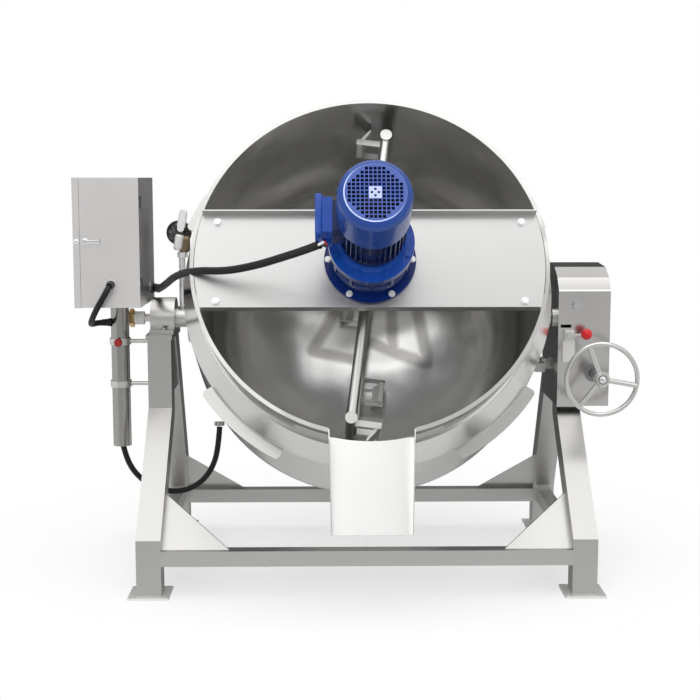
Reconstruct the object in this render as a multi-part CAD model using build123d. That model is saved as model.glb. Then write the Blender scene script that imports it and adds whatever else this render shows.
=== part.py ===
"""Steam jacketed tilting kettle with a scraper agitator.

Millimetres, +Z up.  The origin is on the floor at the centre of the four feet,
the operator stands on the -Y side and the handwheel is on the +X side.
The vessel, its bridge, drive and agitator are drawn upright about the trunnion
axis (local Z is the vessel axis, the spout is on local -Y) and are then leaned
forward into the half-poured rest position.
"""
from build123d import *
import os
from math import sin, cos, tan, radians, degrees, sqrt, pi, atan2

os.makedirs("parts", exist_ok=True)

# ------------------------------------------------------------------ frame sizes
LEG_X = 700            # leg centre, either side
LEG_TUBE = 80          # square leg tube
WALL = 4               # leg tube wall
FOOT_OUT = 465         # outer face of the upright leg ends, front and rear
KINK_Z = 188           # height of the lower bend, outer face
FRONT_TOP_Y, FRONT_TOP_Z = -96, 554     # upper bend of the front leg, outer face
HEAD_Z = 790           # top of the leg tubes
REAR_TOP_Y = 140       # outer face of the rear leg at the top
BEAM = 50              # square beam tube
BEAM_Z = 128           # beam centre height
PLATE = 8              # foot plates and webs
FOOT_SIDE = 132
HEAD_THICK = 16

# -------------------------------------------------------------- trunnion, vessel
AXIS_Y, AXIS_Z = 36, 851       # trunnion axis
VESSEL_X = 7                   # vessel centre is offset from the frame centre
MOUTH_ELEVATION = 25           # vessel axis above the horizontal, at rest
POT_R = 550                    # inner bowl radius
POT_WALL = 4
KNUCKLE, CROWN = 300, 730      # inner radii of the dished bottom
RIM_H = 537                    # rim above the trunnion axis
DISH_H = -70                   # where the cylinder turns into the dish
JACKET_OUT = 35                # outer face of the steam jacket, out from the bowl
CLAD_OUT = 56                  # outer face of the polished cladding, out from the bowl
CLAD_R = POT_R + CLAD_OUT
CLAD_TOP = 283
SHOULDER_TOP = 369
RIM_FLANGE = 12
SPOUT_W, SPOUT_TIP_W = 262, 246
SPOUT_L = 290
NOTCH = 110
SHAFT_R = 30                   # trunnion shaft, gear side
STEAM_SHAFT_R = 23             # trunnion shaft, steam side
RUN = 0.05                     # radial running clearance

# ------------------------------------------------------------------ drive, tilt
BRIDGE_N = 162                 # half width of the bridge plate
BRIDGE_FLANGE = 35
SHEET = 4
WORM_MODULE = 6
WORM_TEETH = 48
WORM_R = 30
GEAR_X = 778
WHEEL_Y = -275                 # plane of the handwheel
WHEEL_R = 117.5

VESSEL = Pos(VESSEL_X, AXIS_Y, AXIS_Z) * Rot(90 - MOUTH_ELEVATION, 0, 0)
SIDES = {"left": -1, "right": 1}


def save(name, shape, place=Location()):
    """Write one node; a list of solids becomes a group."""
    if isinstance(shape, list):
        shape = Compound(children=[place * piece for piece in shape])
    else:
        shape = place * shape
    export_step(shape, f"parts/{name}.step")


def box(x0, x1, y0, y1, z0, z1):
    """Box from its limits."""
    centre = Pos((x0 + x1) / 2, (y0 + y1) / 2, (z0 + z1) / 2)
    return centre * Box(x1 - x0, y1 - y0, z1 - z0)


def rod(start, direction, length, radius):
    """Round bar from a start point along a direction."""
    plane = Plane(origin=start, z_dir=direction)
    return extrude(plane * Circle(radius), length)


def turned(points, axis_place=Location()):
    """Solid of revolution about local Z from (radius, height) points."""
    profile = Plane.XZ * make_face(Polyline(*points, close=True))
    return axis_place * revolve(profile, Axis.Z)


def prism_yz(points, x0, x1):
    """Prism along X whose outline is given as (y, z) points."""
    plane = Plane(origin=(x0, 0, 0), x_dir=(0, 1, 0), z_dir=(1, 0, 0))
    return extrude(plane * make_face(Polyline(*points, close=True)), x1 - x0)


def hex_bolt(place, size, grip=0):
    """Hexagon bolt head with a washer, seated on local Z = 0."""
    washer = extrude(Circle(size * 1.05), size * 0.18)
    head = Pos(0, 0, size * 0.18) * extrude(RegularPolygon(size * 0.92, 6), size * 0.62)
    shank = Pos(0, 0, -grip) * extrude(Circle(size / 2), grip) if grip else None
    bolt = washer + head
    return place * (bolt + shank if grip else bolt)


# ================================================================== A-frame legs
def offset_path(points, distance):
    """Polyline moved sideways by a distance, with mitred corners (y, z points)."""
    moved = []
    for i, (y, z) in enumerate(points):
        before = points[max(i - 1, 0)]
        after = points[min(i + 1, len(points) - 1)]
        start = (y - before[0], z - before[1]) if i else (after[0] - y, after[1] - z)
        end = (after[0] - y, after[1] - z) if i < len(points) - 1 else start
        a0 = atan2(start[1], start[0])
        a1 = atan2(end[1], end[0])
        half = (a1 - a0) / 2
        reach = distance / cos(half)
        middle = (a0 + a1) / 2 + pi / 2
        moved.append((y + reach * cos(middle), z + reach * sin(middle)))
    return moved


def bent_tube(outer_face, inward, x_centre):
    """Square tube in a Y-Z plane whose outer face follows the given points."""
    def band(near, far, stretch):
        faces = []
        for path in (offset_path(outer_face, inward * near), offset_path(outer_face, inward * far)):
            (y0, z0), (y1, z1) = path[-2:]
            lean = (y1 - y0) / (z1 - z0)
            path[0] = (path[0][0], path[0][1] - stretch)
            path[-1] = (y1 + lean * stretch, z1 + stretch)
            faces.append(path)
        return faces[0] + faces[1][::-1]

    half = LEG_TUBE / 2
    tube = prism_yz(band(0, LEG_TUBE, 120), x_centre - half, x_centre + half)
    bore = prism_yz(band(WALL, LEG_TUBE - WALL, 140), x_centre - half + WALL, x_centre + half - WALL)
    keep = box(x_centre - half, x_centre + half, -700, 700, PLATE, HEAD_Z)
    return (tube & keep) - bore


front_face = [(-FOOT_OUT, PLATE), (-FOOT_OUT, KINK_Z), (FRONT_TOP_Y, FRONT_TOP_Z), (FRONT_TOP_Y, HEAD_Z)]
rear_face = [(FOOT_OUT, PLATE), (FOOT_OUT, KINK_Z), (REAR_TOP_Y, HEAD_Z)]
save("front_legs", [bent_tube(front_face, -1, sign * LEG_X) for sign in SIDES.values()])
save("rear_legs", [bent_tube(rear_face, 1, sign * LEG_X) for sign in SIDES.values()])

leg_in = LEG_X - LEG_TUBE / 2
leg_out = LEG_X + LEG_TUBE / 2


def beam_tube(x0, x1, y0, y1):
    """Square beam at the common beam height, open along its long side."""
    z0, z1 = BEAM_Z - BEAM / 2, BEAM_Z + BEAM / 2
    outer = box(x0, x1, y0, y1, z0, z1)
    if x1 - x0 > y1 - y0:
        return outer - box(x0 - 1, x1 + 1, y0 + 3, y1 - 3, z0 + 3, z1 - 3)
    return outer - box(x0 + 3, x1 - 3, y0 - 1, y1 + 1, z0 + 3, z1 - 3)


foot_in = FOOT_OUT - LEG_TUBE
save("cross_beams", [beam_tube(-leg_in, leg_in, y, y + BEAM) for y in (-FOOT_OUT, foot_in)])
save("side_beams", [beam_tube(x - BEAM / 2, x + BEAM / 2, -foot_in, foot_in) for x in (-LEG_X, LEG_X)])

# Foot plates, one under each leg, with a hole for an anchor bolt beside the leg.
FOOT_Y = FOOT_OUT - LEG_TUBE / 2
ANCHOR_R = 7
ANCHOR_IN = 53
foot_plates = []
for sx in (-1, 1):
    for sy in (-1, 1):
        plate = Pos(sx * LEG_X, sy * FOOT_Y, PLATE / 2) * Box(FOOT_SIDE, FOOT_SIDE, PLATE)
        anchor = Pos(sx * (LEG_X - ANCHOR_IN), sy * (FOOT_Y + ANCHOR_IN), PLATE / 2) * Cylinder(ANCHOR_R, 2 * PLATE)
        foot_plates.append(plate - anchor)
save("foot_plates", foot_plates)

# Corner gussets lie parallel to the sloping faces of the legs, on top of the beams.
beam_top = BEAM_Z + BEAM / 2
GUSSET_RUN, GUSSET_RISE, GUSSET_T = 217, 148, 6
front_lean = (FRONT_TOP_Y + FOOT_OUT) / (FRONT_TOP_Z - KINK_Z)
rear_lean = (FOOT_OUT - REAR_TOP_Y) / (HEAD_Z - KINK_Z)


def gusset(sign, y_base, lean):
    """Triangular plate from the leg's inner side to the beam, leaning with the leg."""
    rise_y = y_base + lean * GUSSET_RISE
    foot = [(sign * leg_in, y_base, beam_top), (sign * (leg_in - GUSSET_RUN), y_base, beam_top),
            (sign * leg_in, rise_y, beam_top + GUSSET_RISE)]
    face = make_face(Polyline(*foot, close=True))
    return extrude(face, GUSSET_T, dir=(0, 1 if lean > 0 else -1, 0))


save("corner_gussets", [gusset(s, y, lean) for s in (-1, 1)
                        for y, lean in ((-FOOT_OUT + 20, front_lean), (foot_in + 25, -rear_lean))])

# Head plates close the leg tops and carry the bearings; a web joins post and rear leg.
post_back = FRONT_TOP_Y + LEG_TUBE
WEB_Z = 600
WEB_X = LEG_X - 36


def rear_inner_y(z):
    """Y of the rear leg's inner face at a height."""
    slope = rear_lean
    across = LEG_TUBE * sqrt(1 + slope * slope)
    return FOOT_OUT - slope * (z - KINK_Z) - across


STOP_Y, STOP_Z = 92, 661
head_plates = []
for sign in SIDES.values():
    x0, x1 = sorted((sign * (leg_in - (5 if sign < 0 else 0)), sign * (leg_out + 5)))
    head = box(x0, x1, -105, 150, HEAD_Z, HEAD_Z + HEAD_THICK)
    x0, x1 = sorted((sign * WEB_X, sign * (WEB_X + 8)))
    head_plates.append(head + prism_yz([(post_back, WEB_Z), (rear_inner_y(WEB_Z), WEB_Z),
                                        (rear_inner_y(HEAD_Z), HEAD_Z), (post_back, HEAD_Z)], x0, x1))
# The stop block that ends the forward tilt is welded to the right rear leg.
head_plates.append(box(leg_in - 24, leg_in, STOP_Y, STOP_Y + 48, STOP_Z, STOP_Z + 36))
save("head_plates", head_plates)

# =============================================================== trunnion bearings
seat_z = HEAD_Z + HEAD_THICK
BUSH_WALL = 8
HOUSING_R = 72
HOUSING_HALF = 94
FRAME_BOLT_Y = 82
housings = []
frame_bolts = []
bushes = []
for x0, x1, shaft_r in ((-738, -655, STEAM_SHAFT_R), (663, 741, SHAFT_R)):
    length = x1 - x0
    base = box(x0, x1, AXIS_Y - HOUSING_HALF, AXIS_Y + HOUSING_HALF, seat_z, seat_z + 12)
    arch = rod((x0, AXIS_Y, AXIS_Z), (1, 0, 0), length, HOUSING_R)
    arch &= box(x0, x1, -200, 300, seat_z, 1000)
    bore = rod((x0 - 1, AXIS_Y, AXIS_Z), (1, 0, 0), length + 2, shaft_r + BUSH_WALL)
    housings.append(base + arch - bore)
    bush = rod((x0, AXIS_Y, AXIS_Z), (1, 0, 0), length, shaft_r + BUSH_WALL)
    bushes.append(bush - rod((x0 - 1, AXIS_Y, AXIS_Z), (1, 0, 0), length + 2, shaft_r + RUN))
    for y in (AXIS_Y - FRAME_BOLT_Y, AXIS_Y + FRAME_BOLT_Y):
        frame_bolts.append(hex_bolt(Pos((x0 + x1) / 2 + 8, y, seat_z + 12), 10))
save("bearing_housings", housings)
save("bearing_bushes", bushes)


# ====================================================================== the vessel
DISH = CROWN - sqrt((CROWN - KNUCKLE) ** 2 - (POT_R - KNUCKLE) ** 2)


def vessel_form(out, top):
    """Solid cylinder with a torispherical bottom, a distance out from the bowl's inner face."""
    radius, knuckle, crown = POT_R + out, KNUCKLE + out, CROWN + out
    low = DISH_H - DISH - out
    turn = atan2(POT_R - KNUCKLE, CROWN - DISH)
    join = (crown * sin(turn), low + crown - crown * cos(turn))
    on_crown = (crown * sin(turn / 2), low + crown - crown * cos(turn / 2))
    knuckle_mid = (turn - pi / 2) / 2
    on_knuckle = (radius - knuckle + knuckle * cos(knuckle_mid), DISH_H + knuckle * sin(knuckle_mid))
    outline = Polyline((radius, DISH_H), (radius, top), (0, top), (0, low))
    outline += ThreePointArc((0, low), on_crown, join)
    outline += ThreePointArc(join, on_knuckle, (radius, DISH_H))
    return revolve(Plane.XZ * make_face(outline), Axis.Z)


spout_gap = box(-SPOUT_W / 2, SPOUT_W / 2, -POT_R - 60, -POT_R + 120, RIM_H - NOTCH, RIM_H + 20)
pot_outer = POT_R + POT_WALL
pot = vessel_form(POT_WALL, RIM_H - 6)
rim = turned([(POT_R, RIM_H - 6), (POT_R + RIM_FLANGE, RIM_H - 6), (POT_R + RIM_FLANGE, RIM_H), (POT_R, RIM_H)])
lip = turned([(pot_outer - 1, RIM_H - 62), (pot_outer + 4, RIM_H - 62), (pot_outer + 4, RIM_H - 56),
              (pot_outer - 1, RIM_H - 56)])
pot = pot + rim + lip - vessel_form(0, RIM_H + 5) - spout_gap
save("inner_pot", pot, VESSEL)

# Steam jacket: a heavier shell that closes on the pot with a flat ring.
jacket_t = 5
jacket_top = 250
jacket = vessel_form(JACKET_OUT, jacket_top) - vessel_form(JACKET_OUT - jacket_t, jacket_top - jacket_t)
jacket -= Pos(0, 0, jacket_top) * Cylinder(pot_outer, 60)
save("steam_jacket", jacket, VESSEL)

# Insulation, then the polished outer cladding with the shoulder that meets the pot.
clad_t = 3
wool = vessel_form(CLAD_OUT - clad_t, CLAD_TOP - 4) - vessel_form(JACKET_OUT, CLAD_TOP)
wool -= Pos(0, 0, CLAD_TOP) * Cylinder(POT_R + 30, 60)
save("insulation", wool, VESSEL)
cladding = vessel_form(CLAD_OUT, CLAD_TOP) - vessel_form(CLAD_OUT - clad_t, CLAD_TOP + 5)
save("outer_cladding", cladding, VESSEL)
shoulder = turned([(CLAD_R - clad_t, CLAD_TOP), (CLAD_R, CLAD_TOP), (CLAD_R, CLAD_TOP + 4),
                   (pot_outer + 6, SHOULDER_TOP), (pot_outer, SHOULDER_TOP),
                   (pot_outer, SHOULDER_TOP - 4), (CLAD_R - 6, CLAD_TOP + 2)])
save("shoulder_ring", shoulder, VESSEL)

# Arc guards: flat segments standing out from the widest ring of the casing.
GUARD_R, GUARD_T = 644, 5
guard_spans = [(213, 243), (297, 327), (147, 160), (20, 33)]


def ring_segment(r0, r1, start, end, z0, z1):
    """Sector of a flat ring, angles in degrees about local Z."""
    profile = Plane.XZ * make_face(Polyline((r0, z0), (r1, z0), (r1, z1), (r0, z1), close=True))
    return revolve(Rot(0, 0, start) * profile, Axis.Z, end - start)


guards = []
for start, end in guard_spans:
    segment = ring_segment(CLAD_R, GUARD_R, start, end, CLAD_TOP - GUARD_T - 6, CLAD_TOP - 6)
    corners = segment.edges().filter_by(Axis.Z).sort_by(lambda e: -Vector(e.center().X, e.center().Y, 0).length)[:2]
    guards.append(chamfer(corners, 9))
save("arc_guards", guards, VESSEL)


# Pouring spout: a shallow channel welded into the notch of the rim.
def spout_outline(gap):
    """Plan outline of the spout, narrowed by a gap on each side."""
    root = -POT_R + 12
    tip = -POT_R - SPOUT_L
    return [(-SPOUT_W / 2 + gap, root), (-SPOUT_TIP_W / 2 + gap, tip - (1 if gap else 0)),
            (SPOUT_TIP_W / 2 - gap, tip - (1 if gap else 0)), (SPOUT_W / 2 - gap, root)]


spout_z = RIM_H - NOTCH
spout = Pos(0, 0, spout_z) * extrude(make_face(Polyline(*spout_outline(0), close=True)), NOTCH)
channel = Pos(0, 0, spout_z + 3) * extrude(make_face(Polyline(*spout_outline(3), close=True)), NOTCH)
side_cut = prism_yz([(-POT_R - 20, RIM_H), (-POT_R - SPOUT_L - 5, spout_z + 46), (-POT_R - SPOUT_L - 5, RIM_H + 5),
                     (-POT_R - 20, RIM_H + 5)], -SPOUT_W, SPOUT_W)
spout = spout - channel - side_cut
spout -= Pos(0, 0, spout_z + NOTCH / 2) * Cylinder(POT_R, NOTCH + 20)
save("pouring_spout", spout, VESSEL)

# Trunnions: a pad seated on the cladding and a shaft out to the bearing.
PAD_R = 85
clad_solid = vessel_form(CLAD_OUT, CLAD_TOP)
NIPPLE_R, STEAM_R = 14, 9
left_end, right_end = 745 + VESSEL_X, 800 - VESSEL_X
left_shaft = rod((-588, 0, 0), (-1, 0, 0), 28, PAD_R) - clad_solid
left_shaft += rod((-610, 0, 0), (-1, 0, 0), left_end - 610, STEAM_SHAFT_R)
left_shaft += rod((-left_end, 0, 0), (-1, 0, 0), 50, NIPPLE_R)
left_shaft -= rod((-640, 0, 0), (-1, 0, 0), 180, STEAM_R)
save("left_trunnion", left_shaft, VESSEL)
right_shaft = rod((588, 0, 0), (1, 0, 0), 28, PAD_R) - clad_solid
right_shaft += rod((610, 0, 0), (1, 0, 0), right_end - 610, SHAFT_R)
save("right_trunnion", right_shaft, VESSEL)

# Drain plug under the dish, and the gland where the temperature probe goes in.
clad_bottom = DISH_H - DISH - CLAD_OUT
drain = Pos(0, 0, clad_bottom - 14) * extrude(Circle(26), 13.9)
drain += Pos(0, 0, clad_bottom - 30) * extrude(RegularPolygon(21, 6), 17)
PROBE_GLAND = Plane(origin=(-507, 2, 474), z_dir=(0, 0.24, 0.97))
probe_gland = extrude(PROBE_GLAND * Circle(18), 14) - extrude(PROBE_GLAND * Circle(10.4), 14)

# Stop lug on the casing: it meets the stop block at the end of the forward tilt.
STOP_R = 176
stop_lug = box(596, 630, -18, 18, -STOP_R - 16, -STOP_R + 16)
stop_lug = Pos(VESSEL_X, AXIS_Y, AXIS_Z) * stop_lug - VESSEL * clad_solid
save("casing_fittings", [VESSEL * drain, probe_gland, stop_lug])

# =========================================================== bridge across the mouth
bridge_z = RIM_H - SHEET
END_R = POT_R - 2
bridge = box(-POT_R, POT_R, -BRIDGE_N, BRIDGE_N, bridge_z, bridge_z + SHEET)
for s in (-1, 1):
    y0, y1 = sorted((s * BRIDGE_N, s * (BRIDGE_N - SHEET)))
    bridge += box(-POT_R, POT_R, y0, y1, bridge_z, bridge_z + BRIDGE_FLANGE)
bridge &= Pos(0, 0, RIM_H) * Cylinder(END_R, 200)
AGITATOR_SHAFT_R = 25
bridge -= Pos(0, 0, bridge_z) * Cylinder(60, 40)
save("bridge_plate", bridge, VESSEL)

# Support brackets under the plate ends, welded to the pot wall.
BOLT_X, BOLT_N = 478, 132
supports = []
for s in (-1, 1):
    for t in (-1, 1):
        shelf = box(*sorted((s * 440, s * 545)), t * BOLT_N - 24, t * BOLT_N + 24, bridge_z - 6, bridge_z)
        rib = box(*sorted((s * 470, s * 545)), t * BOLT_N - 3, t * BOLT_N + 3, bridge_z - 60, bridge_z - 6)
        supports.append((shelf + rib) & Pos(0, 0, bridge_z) * Cylinder(POT_R, 300))
save("bridge_supports", supports, VESSEL)
kettle_bolts = [VESSEL * hex_bolt(Pos(s * BOLT_X, t * BOLT_N, bridge_z + SHEET), 12)
                for s in (-1, 1) for t in (-1, 1)]

# =============================================================== geared drive motor
# Heights of the gearmotor are measured from the top of the bridge plate.
MOTOR = VESSEL * Pos(0, 0, RIM_H)
ROTOR_R = 12
FLANGE_R, FLANGE_PCD = 143, 131
base_flange = turned([(0, 0), (FLANGE_R, 0), (FLANGE_R, 16), (112, 16), (106, 24), (104, 52), (120, 60),
                      (120, 66), (0, 66)])
base_flange -= Cylinder(AGITATOR_SHAFT_R + RUN, 400)
save("reducer_base", base_flange, MOTOR)

case = turned([(0, 66), (124, 66), (124, 78), (118, 84), (118, 128), (130, 134), (130, 150), (0, 150)])
ribs = [Rot(0, 0, 30 * i) * box(112, 127, -5, 5, 78, 134) for i in range(12)]
for rib in ribs:
    case += rib
case -= Cylinder(AGITATOR_SHAFT_R + RUN, 240)
save("reducer_case", case, MOTOR)

MOTOR_BOTTOM, MOTOR_TOP = 150, 396
adapter = turned([(0, 150), (130, 150), (130, 164), (104, 164), (98, 176), (92, 196), (0, 196)])
adapter -= Pos(0, 0, 170) * Cylinder(ROTOR_R + RUN, 100)

FIN_COUNT, FIN_OUT, BODY_R = 36, 101, 88
body = turned([(0, 196), (96, 196), (96, 212), (BODY_R, 214), (BODY_R, 378), (96, 380), (96, MOTOR_TOP),
               (0, MOTOR_TOP)])
fin_angles = [i * 360 / FIN_COUNT for i in range(FIN_COUNT) if not 150 <= i * 360 / FIN_COUNT <= 210]
for angle in fin_angles:
    body += Rot(0, 0, angle) * box(BODY_R - 3, FIN_OUT, -1.6, 1.6, 214, 378)
body += box(-118, -60, -46, 46, 262, 362)
body -= Pos(0, 0, 300) * Cylinder(ROTOR_R + RUN, 300)
save("motor_body", [adapter, body], MOTOR)

# Terminal box on the spout-left side of the motor, with a gland facing the rim.
terminal = box(-166, -118, -54, 54, 254, 370)
terminal = chamfer(terminal.faces().sort_by(Axis.X)[0].edges(), 4)
lid_line = box(-152, -149, -60, 60, 250, 374) - box(-152, -149, -52, 52, 256, 368)
terminal -= lid_line
GLAND_X, GLAND_H = -132, 298
entry = Plane(origin=(GLAND_X, -54, GLAND_H), z_dir=(0, -1, 0))
motor_gland = extrude(entry * RegularPolygon(13, 6), 7) + extrude(entry * Circle(9), 12)
save("terminal_box", [terminal, motor_gland], MOTOR)

# Fan cover: a drawn cap with a square-hole grille in its end.
COVER_R, COVER_TOP = 107, 520
shell = turned([(COVER_R - 2, MOTOR_TOP - 30), (COVER_R, MOTOR_TOP - 30), (COVER_R, COVER_TOP - 26),
                (COVER_R - 5, COVER_TOP - 10), (COVER_R - 16, COVER_TOP), (0, COVER_TOP), (0, COVER_TOP - 2),
                (COVER_R - 17, COVER_TOP - 2), (COVER_R - 7, COVER_TOP - 12), (COVER_R - 2, COVER_TOP - 27)])
GRILLE_R, MESH = 84, 12
holes = []
count = int(GRILLE_R / MESH)
for i in range(-count, count + 1):
    for j in range(-count, count + 1):
        far = sqrt((abs(i) + 0.5) ** 2 + (abs(j) + 0.5) ** 2) * MESH
        if far < GRILLE_R and max(abs(i), abs(j)) > 1:
            holes.append(Pos(i * MESH, j * MESH, COVER_TOP - 6) * Box(MESH - 3, MESH - 3, 20))
shell -= holes
spacers = [Rot(0, 0, 45 + 90 * i) * box(96, COVER_R - 1.8, -7, 7, MOTOR_TOP - 15, MOTOR_TOP - 3) for i in range(4)]
for spacer in spacers:
    shell += spacer
save("fan_cover", shell, MOTOR)

# Rotor shaft with the cooling fan on its end.
rotor = Pos(0, 0, 160) * extrude(Circle(ROTOR_R), 316)
fan = turned([(ROTOR_R - 1, 430), (38, 430), (38, 436), (24, 440), (24, 470), (ROTOR_R - 1, 470)])
for i in range(7):
    fan += Rot(0, 0, i * 360 / 7) * box(22, 84, -1.5, 1.5, 432, 468)
save("motor_rotor", [rotor, fan - Pos(0, 0, 450) * Cylinder(ROTOR_R, 60)], MOTOR)

for i in range(6):
    kettle_bolts.append(MOTOR * Rot(0, 0, 60 * i) * hex_bolt(Pos(FLANGE_PCD, 0, 16.5), 10))
for i in range(8):
    kettle_bolts.append(MOTOR * Rot(0, 0, 45 * i + 22.5) * hex_bolt(Pos(117, 0, 164), 8))
save("bridge_bolts", kettle_bolts)

# ============================================================== scraper agitator
ARM_R, TUBE_R = 484, 17
CROSS_H = 430
ARM_TURN = -7.2                # crossbar angle about the vessel axis
AGITATOR = VESSEL * Rot(0, 0, ARM_TURN)
hoop_points = [(ARM_R, CROSS_H + 18), (478, -120), (330, -325), (120, -390), (-120, -390), (-330, -325),
               (-478, -120), (-ARM_R, CROSS_H + 18)]
hoop_line = FilletPolyline(*[(0, r, h) for r, h in hoop_points], radius=[110, 160, 220, 220, 160, 110])
hoop = sweep(Plane(origin=hoop_line @ 0, z_dir=hoop_line % 0) * Circle(TUBE_R), path=hoop_line)
crossbar = rod((0, -ARM_R + 10, CROSS_H), (0, 1, 0), 2 * ARM_R - 20, TUBE_R)
frame_arm = hoop + crossbar
for s in (-1, 1):
    frame_arm += Pos(0, s * ARM_R, CROSS_H + 18) * extrude(Circle(TUBE_R + 2), 5)
hub = turned([(0, CROSS_H - 34), (40, CROSS_H - 34), (40, CROSS_H + 34), (0, CROSS_H + 34)])
frame_arm += hub
frame_arm -= Pos(0, 0, CROSS_H) * Cylinder(AGITATOR_SHAFT_R, 100)
save("agitator_shaft", Pos(0, 0, CROSS_H - 34) * extrude(Circle(AGITATOR_SHAFT_R), RIM_H + 110 - CROSS_H + 34), AGITATOR)

# Scrapers: a two-lug bracket reaching ahead of the arm, a pin, and a blade that trails back to the wall.
LUG_X, PIN_B, PIN_R = 50, 84, 5
stations = [(482, 330, 65), (404, -222, 82), (160, -377.6, 51)]


def scraper_place(radius, height, out_angle, turn):
    """Local frame on the arm: X along the arm, Y behind it, Z out to the wall."""
    origin = (0, radius, height)
    outward = (0, cos(out_angle), sin(out_angle))
    along = (0, sin(out_angle), -cos(out_angle))
    plane = Plane(origin=origin, x_dir=along, z_dir=outward)
    return Rot(0, 0, turn) * plane.location


def out_direction(index):
    """Angle of the wall-facing direction at a station of the arm."""
    if index == 0:
        return atan2(6 / 568, 1)
    (r0, h0), (r1, h1) = hoop_points[index], hoop_points[index + 1]
    return atan2(r1 - r0, abs(h1 - h0))


brackets = []
scraper_pins = []
for arm, turn in ((0, 0), (1, 180)):
    for index, (radius, height, gap) in enumerate(stations):
        place = scraper_place(radius, height, out_direction(index), turn)
        lugs = [box(s * LUG_X - 3, s * LUG_X + 3, 6, PIN_B + 12, -10, 10) for s in (-1, 1)]
        back = box(-LUG_X, LUG_X, 14, 20, -12, 12)
        pin = rod((-LUG_X - 6, PIN_B, 0), (1, 0, 0), 2 * LUG_X + 12, PIN_R)
        brackets += [place * piece for piece in (lugs[0], lugs[1], back, pin)]
        sleeve = rod((-LUG_X + 6, PIN_B, 0), (1, 0, 0), 2 * LUG_X - 12, 11)
        tip = gap - 13
        blade_outline = [(PIN_B + 7, 4), (PIN_B - 7, 4), (PIN_B - 30, tip - 8), (PIN_B - 31, tip), (PIN_B - 26, tip - 2)]
        blade = Plane(origin=(-LUG_X + 6, 0, 0), x_dir=(0, 1, 0), z_dir=(1, 0, 0)) * make_face(
            Polyline(*blade_outline, close=True))
        blade = extrude(blade, 2 * LUG_X - 12)
        scraper = sleeve + blade - rod((-LUG_X, PIN_B, 0), (1, 0, 0), 2 * LUG_X, PIN_R + RUN)
        number = 3 * arm + index + 1
        save(f"scraper_{number}", scraper, AGITATOR * place)
        world = AGITATOR * place * Location((0, PIN_B, 0))
        axis_dir = (AGITATOR * place * Location((1, PIN_B, 0))).position - world.position
        scraper_pins.append((number, world.position, axis_dir))
for piece in brackets:
    frame_arm += piece
save("agitator_frame", frame_arm, AGITATOR)

# ================================================================= tilting gear
wheel_root = WORM_MODULE * WORM_TEETH / 2 - 7.3
wheel_tip = WORM_MODULE * WORM_TEETH / 2 + WORM_MODULE
pitch_r = WORM_MODULE * WORM_TEETH / 2
FACE_W = 36
lead_slope = WORM_MODULE / (2 * WORM_R)
FLANK = tan(radians(20))
TOOTH = WORM_MODULE * pi / 2 - 2.0
GEAR = Pos(GEAR_X, AXIS_Y, AXIS_Z)


def half_tooth(radius):
    """Half thickness of a wheel tooth at a radius."""
    return TOOTH / 2 - (radius - pitch_r) * FLANK


tooth_points = [(-half_tooth(wheel_root - 2), wheel_root - 2), (half_tooth(wheel_root - 2), wheel_root - 2),
                (half_tooth(wheel_tip), wheel_tip), (-half_tooth(wheel_tip), wheel_tip)]
tooth = Plane(origin=(-FACE_W / 2, 0, 0), x_dir=(0, 1, 0), z_dir=(1, 0, 0)) * make_face(
    Polyline(*tooth_points, close=True))
tooth = extrude(tooth, FACE_W)
tooth = Rot(0, 0, -degrees(atan2(lead_slope, 1))) * tooth
tooth &= box(-FACE_W / 2, FACE_W / 2, -40, 40, 0, 200)
wheel = rod((-FACE_W / 2, 0, 0), (1, 0, 0), FACE_W, wheel_root)
wheel -= rod((-FACE_W / 2 - 1, 0, 0), (1, 0, 0), 13, 112) - rod((-FACE_W / 2 - 1, 0, 0), (1, 0, 0), 13, 56)
wheel -= rod((FACE_W / 2 - 12, 0, 0), (1, 0, 0), 13, 112) - rod((FACE_W / 2 - 12, 0, 0), (1, 0, 0), 13, 56)
teeth = [Rot(360 / WORM_TEETH * (i + 0.5), 0, 0) * tooth for i in range(WORM_TEETH)]
wheel = wheel.fuse(*teeth)
for i in range(6):
    wheel -= Rot(60 * i, 0, 0) * rod((-FACE_W, 0, 84), (1, 0, 0), 2 * FACE_W, 17)
wheel -= rod((-FACE_W, 0, 0), (1, 0, 0), 2 * FACE_W, SHAFT_R)
save("worm_wheel", wheel, GEAR)

worm_z = AXIS_Z - pitch_r - WORM_R
WORM_SHAFT_R = 15
worm_pitch = pi * WORM_MODULE
WORM_L = 5 * worm_pitch
worm_root = WORM_R - 7.3
thread_path = Helix(pitch=worm_pitch, height=WORM_L, radius=worm_root - 1)
start_point = thread_path @ 0


def half_thread(radius):
    """Half thickness of the worm thread at a radius."""
    return TOOTH / 2 - (radius - WORM_R) * FLANK


root_half, tip_half = half_thread(worm_root - 1), half_thread(WORM_R + WORM_MODULE)
thread_face = Plane.XZ * make_face(Polyline((worm_root - 1, -root_half), (WORM_R + WORM_MODULE, -tip_half),
                                            (WORM_R + WORM_MODULE, tip_half), (worm_root - 1, root_half), close=True))
thread = sweep(thread_face, path=thread_path, is_frenet=True)
worm = Pos(0, 0, WORM_L / 2) * Cylinder(worm_root, WORM_L + 2 * worm_pitch) + thread
worm -= Pos(0, 0, WORM_L / 2) * Cylinder(WORM_SHAFT_R, WORM_L + 4 * worm_pitch)
# Local Z of the worm runs along +Y; a half turn sets a thread gap under the wheel's tooth.
WORM = Pos(GEAR_X, AXIS_Y - WORM_L / 2, worm_z) * Rot(-90, 0, 0)
worm_shaft = rod((GEAR_X, WHEEL_Y - 12, worm_z), (0, 1, 0), 430, WORM_SHAFT_R)
save("worm_shaft", [WORM * Rot(0, 0, 90) * worm, worm_shaft])

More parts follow.
